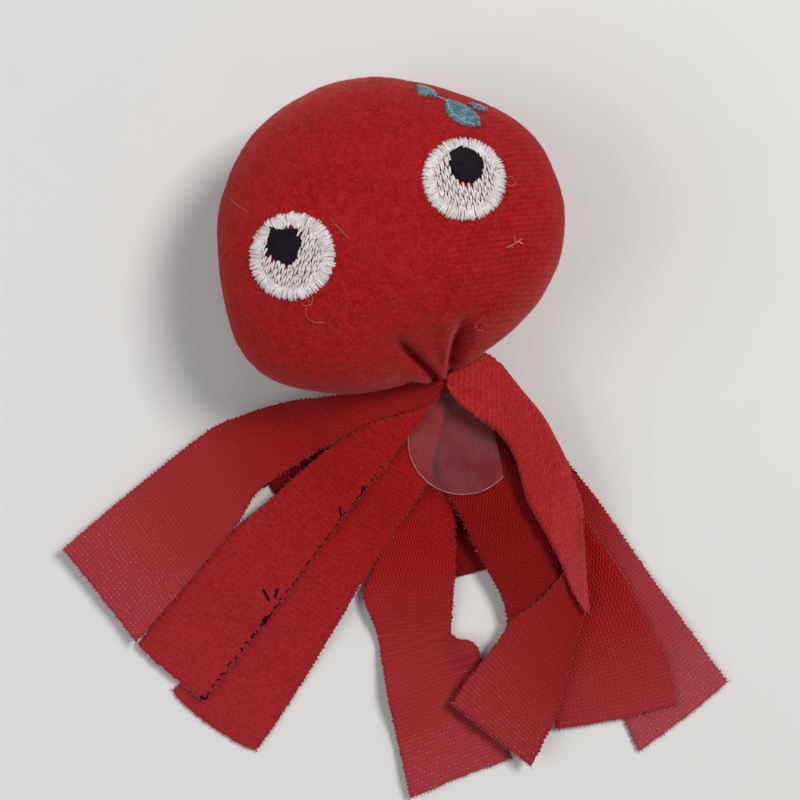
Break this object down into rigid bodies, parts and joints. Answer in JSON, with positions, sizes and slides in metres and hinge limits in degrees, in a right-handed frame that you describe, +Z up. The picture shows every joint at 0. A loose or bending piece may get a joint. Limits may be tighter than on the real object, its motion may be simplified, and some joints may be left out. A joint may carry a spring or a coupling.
{
  "type": "plush octopus cat toy",
  "caption": "Plush octopus cat toy with a stuffed knit head, embroidered eyes and long fabric-strip tentacles that swing and lift at the neck.",
  "frame": {"origin": "centre of the flat patch that the head rests on, the toy lying on its back on a table", "axes": "+Z up out of the face, +Y along the table from the tentacles towards the crown, +X to the right seen from above"},
  "size_m": [0.1392, 0.147, 0.0439],
  "materials": {
    "red_plush": "brushed knit pile",
    "red_strip": "knit strip, brushed on one side and looped on the other",
    "white_thread": "satin embroidery thread",
    "black_thread": "embroidery thread",
    "teal_thread": "glossy satin embroidery thread",
    "red_thread": "wound sewing thread",
    "fibrefill": "loose polyester fibre",
    "pouch_cloth": "plain woven cotton",
    "clear_film": "thin clear adhesive film"
  },
  "bodies": {
    "head": {"head_cover": "red_plush", "head_stuffing": "fibrefill", "catnip_pouch": "pouch_cloth", "neck_tie": "red_thread", "cover_skirt": "red_plush", "left_eye_rim": "white_thread", "left_eye_white": "white_thread", "left_eye_pupil": "black_thread", "right_eye_rim": "white_thread", "right_eye_white": "white_thread", "right_eye_pupil": "black_thread", "crown_petal_left": "teal_thread", "crown_petal_front": "teal_thread", "crown_petal_right": "teal_thread"},
    "far_left_tentacle": {"tentacle_1_far_left": "red_strip"},
    "left_tentacle": {"tentacle_2_left": "red_strip"},
    "left_under_tentacle": {"tentacle_3_left_under": "red_strip"},
    "centre_tentacle": {"tentacle_4_centre": "red_strip"},
    "centre_right_tentacle": {"tentacle_5_centre_right": "red_strip", "film_disc": "clear_film"},
    "folded_tentacle": {"tentacle_6_folded": "red_strip"},
    "right_tentacle": {"tentacle_7_right": "red_strip"},
    "far_right_tentacle": {"tentacle_8_far_right": "red_strip"}
  },
  "joints": [
    {"name": "far_left_lift", "type": "hinge", "parent": "head", "child": "far_left_tentacle", "pos_m": [0.0109, -0.0285, 0.016], "axis": [-0.4384, 0.8988, 0], "range_deg": [0, 45]},
    {"name": "left_swing", "type": "hinge", "parent": "head", "child": "left_tentacle", "pos_m": [0.0109, -0.0285, 0.012], "axis": [0, 0, 1], "range_deg": [-8, 8]},
    {"name": "left_under_swing", "type": "hinge", "parent": "head", "child": "left_under_tentacle", "pos_m": [0.0109, -0.0285, 0.012], "axis": [0, 0, 1], "range_deg": [-8, 5]},
    {"name": "centre_swing", "type": "hinge", "parent": "head", "child": "centre_tentacle", "pos_m": [0.0109, -0.0285, 0.012], "axis": [0, 0, 1], "range_deg": [-5, 8]},
    {"name": "centre_right_swing", "type": "hinge", "parent": "head", "child": "centre_right_tentacle", "pos_m": [0.0109, -0.0285, 0.012], "axis": [0, 0, 1], "range_deg": [-8, 8]},
    {"name": "folded_lift", "type": "hinge", "parent": "head", "child": "folded_tentacle", "pos_m": [0.0109, -0.0285, 0.0173], "axis": [-0.8192, -0.5736, 0], "range_deg": [0, 65]},
    {"name": "right_swing", "type": "hinge", "parent": "head", "child": "right_tentacle", "pos_m": [0.0109, -0.0285, 0.012], "axis": [0, 0, 1], "range_deg": [-8, 8]},
    {"name": "far_right_swing", "type": "hinge", "parent": "head", "child": "far_right_tentacle", "pos_m": [0.0109, -0.0285, 0.012], "axis": [0, 0, 1], "range_deg": [-8, 20]}
  ]
}
